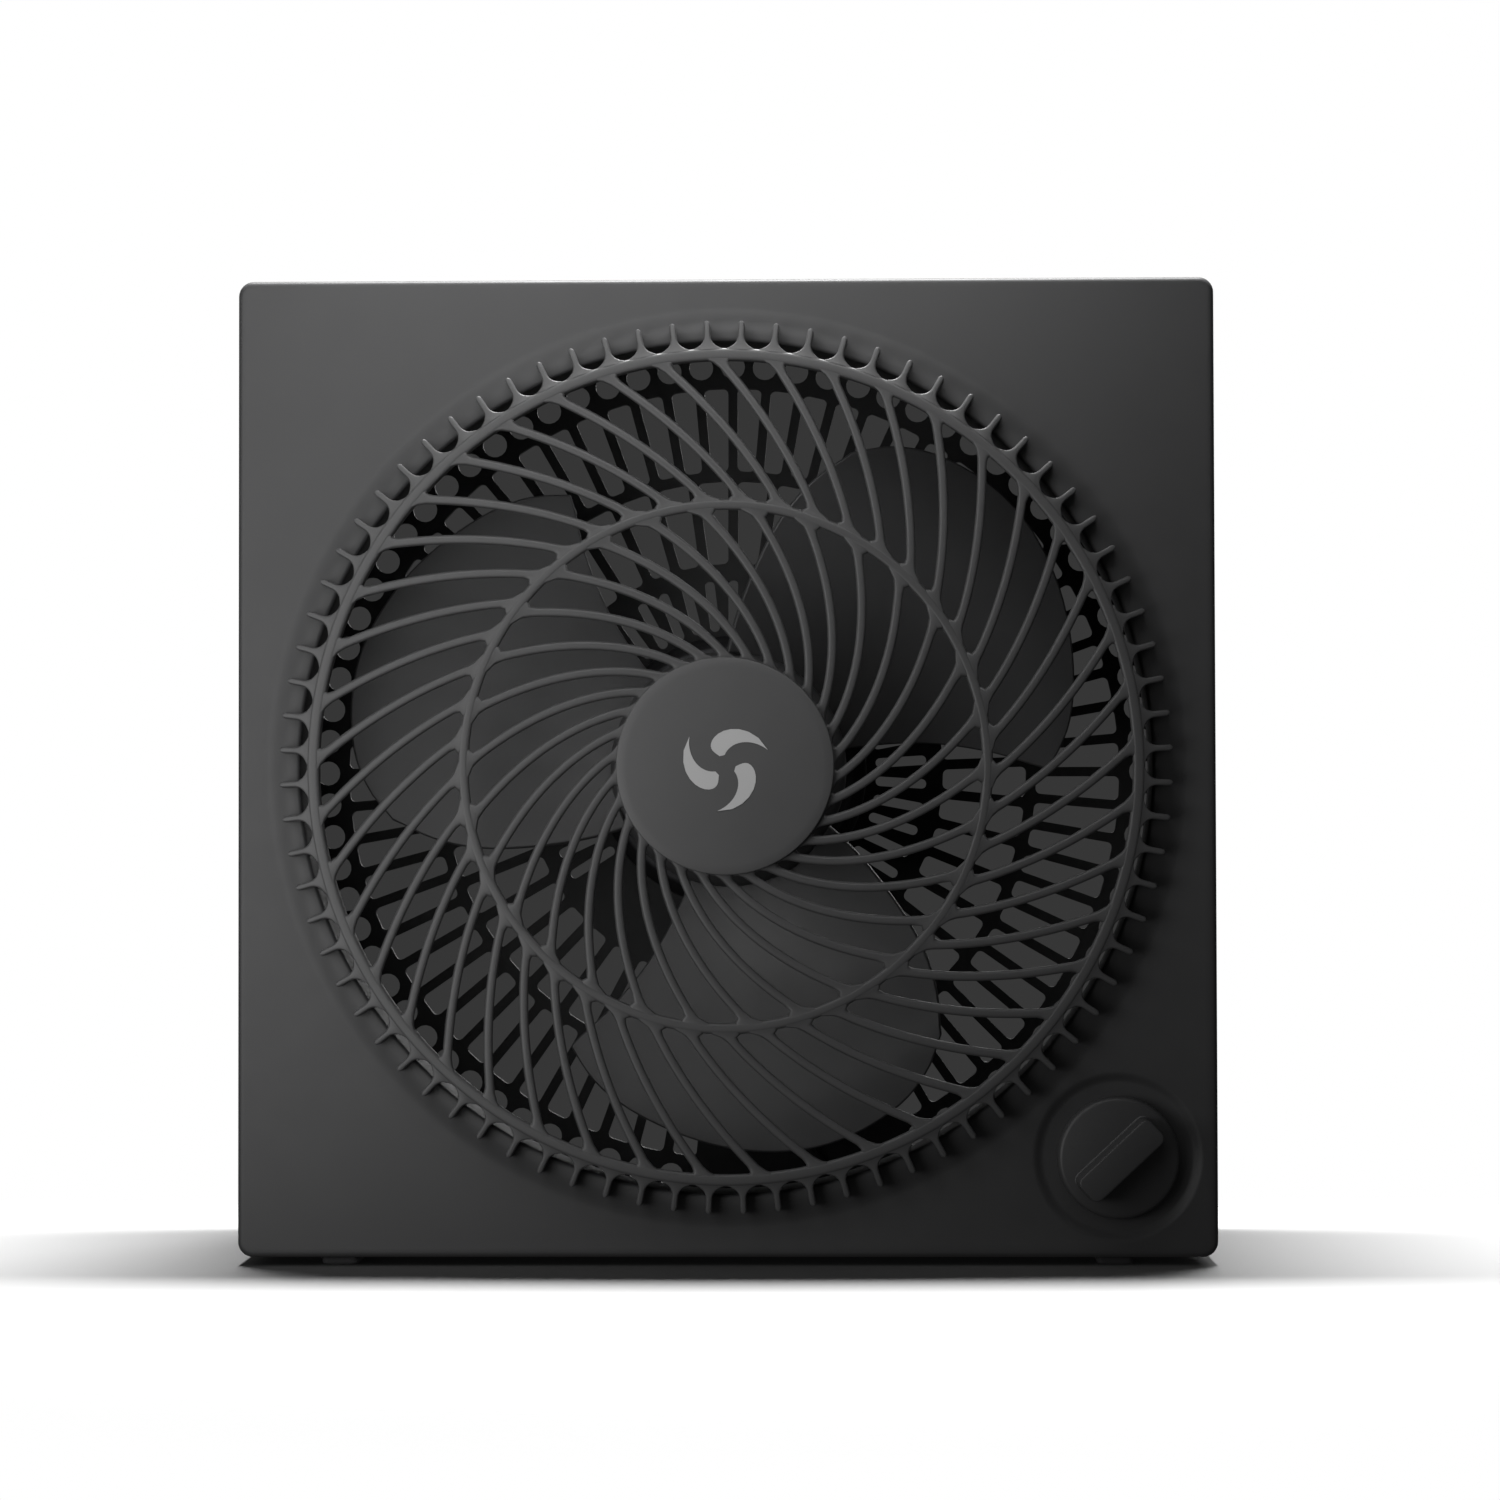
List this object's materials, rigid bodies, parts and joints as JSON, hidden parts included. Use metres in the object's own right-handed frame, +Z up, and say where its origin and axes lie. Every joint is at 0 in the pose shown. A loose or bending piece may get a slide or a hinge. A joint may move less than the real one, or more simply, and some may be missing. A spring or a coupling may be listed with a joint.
{
  "type": "box fan",
  "caption": "Square tabletop box fan with a spiral front grille, a slotted rear guard, a three-blade fan on a motor shaft and a turning speed knob.",
  "frame": {"origin": "centre of the footprint, on the surface that the feet stand on", "axes": "+Z up, -Y out of the front grille towards the user, +X to the user's right when facing the front"},
  "size_m": [0.29, 0.118, 0.2925],
  "materials": {
    "case_plastic": "fine matte, charcoal black",
    "grille_plastic": "satin, charcoal",
    "guard_plastic": "matte black",
    "fan_plastic": "satin, charcoal black",
    "cap_plastic": "satin, charcoal",
    "knob_plastic": "satin, charcoal black",
    "nut_plastic": "moulded nylon",
    "switch_plastic": "moulded phenolic",
    "foot_rubber": "soft matte",
    "bright_steel": "ground and plated",
    "motor_steel": "pressed and zinc plated",
    "lamination_steel": "stacked laminations",
    "copper_wire": "enamelled windings",
    "bearing_bronze": "oil-filled sintered bronze",
    "lead_jacket": "flexible sheath"
  },
  "bodies": {
    "case": {"front_bezel": "case_plastic", "rear_housing": "case_plastic", "front_grille": "grille_plastic", "badge_cap": "cap_plastic", "rear_guard": "guard_plastic", "stator_core": "lamination_steel", "coil_1": "copper_wire", "coil_2": "copper_wire", "coil_3": "copper_wire", "coil_4": "copper_wire", "motor_shell_front": "motor_steel", "motor_shell_rear": "motor_steel", "bearing_front": "bearing_bronze", "bearing_rear": "bearing_bronze", "thrust_washer_front": "bearing_bronze", "thrust_washer_rear": "bearing_bronze", "motor_screw_top_right": "bright_steel", "motor_screw_top_left": "bright_steel", "motor_screw_bottom_left": "bright_steel", "motor_screw_bottom_right": "bright_steel", "guard_screw_top_right": "bright_steel", "guard_screw_top_left": "bright_steel", "guard_screw_bottom_left": "bright_steel", "guard_screw_bottom_right": "bright_steel", "case_screw_top_right": "bright_steel", "case_screw_top_left": "bright_steel", "case_screw_bottom_left": "bright_steel", "case_screw_bottom_right": "bright_steel", "rotary_switch": "switch_plastic", "switch_nut": "bright_steel", "cord_inlet": "nut_plastic", "supply_lead": "lead_jacket", "motor_lead": "lead_jacket", "foot_front_left": "foot_rubber", "foot_front_right": "foot_rubber", "foot_rear_left": "foot_rubber", "foot_rear_right": "foot_rubber"},
    "fan": {"fan_blade": "fan_plastic", "blade_nut": "nut_plastic", "motor_shaft": "bright_steel", "rotor_core": "lamination_steel"},
    "knob": {"speed_knob": "knob_plastic", "switch_shaft": "bright_steel"}
  },
  "joints": [
    {"name": "fan_spin", "type": "hinge", "parent": "case", "child": "fan", "pos_m": [0, 0, 0.1475], "axis": [0, 1, 0], "continuous": true},
    {"name": "knob_turn", "type": "hinge", "parent": "case", "child": "knob", "pos_m": [0.1155, -0.045, 0.032], "axis": [0, 1, 0], "range_deg": [0, 135]}
  ]
}
